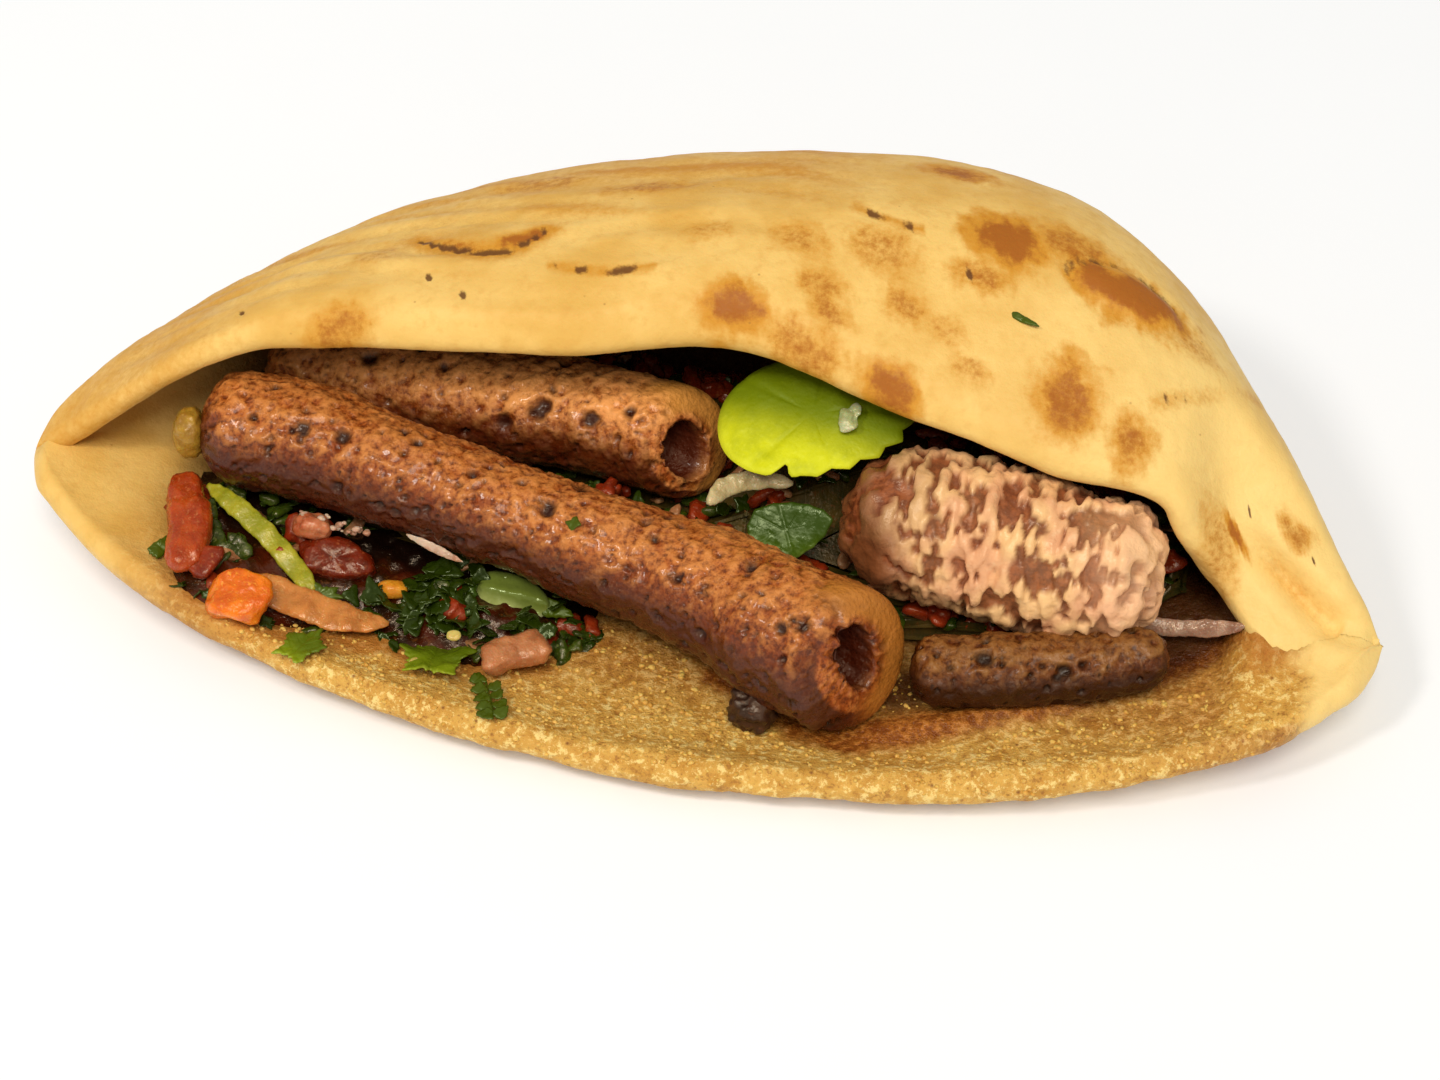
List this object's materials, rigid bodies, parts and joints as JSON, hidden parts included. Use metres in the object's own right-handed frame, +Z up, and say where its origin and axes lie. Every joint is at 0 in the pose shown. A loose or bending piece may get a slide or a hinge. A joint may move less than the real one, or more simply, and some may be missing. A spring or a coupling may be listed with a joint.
{
  "type": "tarb sandwich",
  "caption": "Flatbread folded over fat-wrapped grilled kofta, herbs and chopped salad, open along one side.",
  "frame": {"origin": "bottom centre of the bounding box, on the resting surface", "axes": "+X along the fold to the right corner, -Y towards the open side, +Z up"},
  "size_m": [0.2241, 0.1141, 0.061],
  "materials": {
    "bread": "soft baked crust, matt, grainy crumb inside",
    "kofta": "browned and fat-glazed, semi-gloss",
    "char": "charred, wrinkled, dull",
    "fat_wrap": "browned fat, moist, semi-gloss",
    "lime_leaf": "fresh leaf, satin",
    "green_leaf": "fresh leaf, satin",
    "stalk": "wet stalk, glossy",
    "herb": "fresh herb, satin",
    "green_pepper": "wet, glossy",
    "tomato": "wet cut tomato, glossy",
    "onion": "translucent, stained with sauce, glossy",
    "pickle": "wet, glossy",
    "salad": "chopped, moist, glossy"
  },
  "bodies": {
    "root": {"bread": "bread", "kofta_front": "kofta", "kofta_back": "kofta", "kofta_right": "kofta", "kofta_nub": "char", "fat_roll": "fat_wrap", "round_leaf": "lime_leaf", "green_leaf": "green_leaf", "green_strip": "stalk", "parsley_large": "herb", "parsley_dark": "herb", "parsley_rim": "herb", "pepper_curl": "green_pepper", "pepper_slice": "green_pepper", "tomato_tall": "tomato", "tomato_front": "tomato", "tomato_mid": "tomato", "tomato_pink": "tomato", "onion_slice": "onion", "onion_ring": "onion", "onion_strip": "onion", "onion_pink": "onion", "pickle_slice": "pickle", "salad": "salad"}
  },
  "joints": []
}
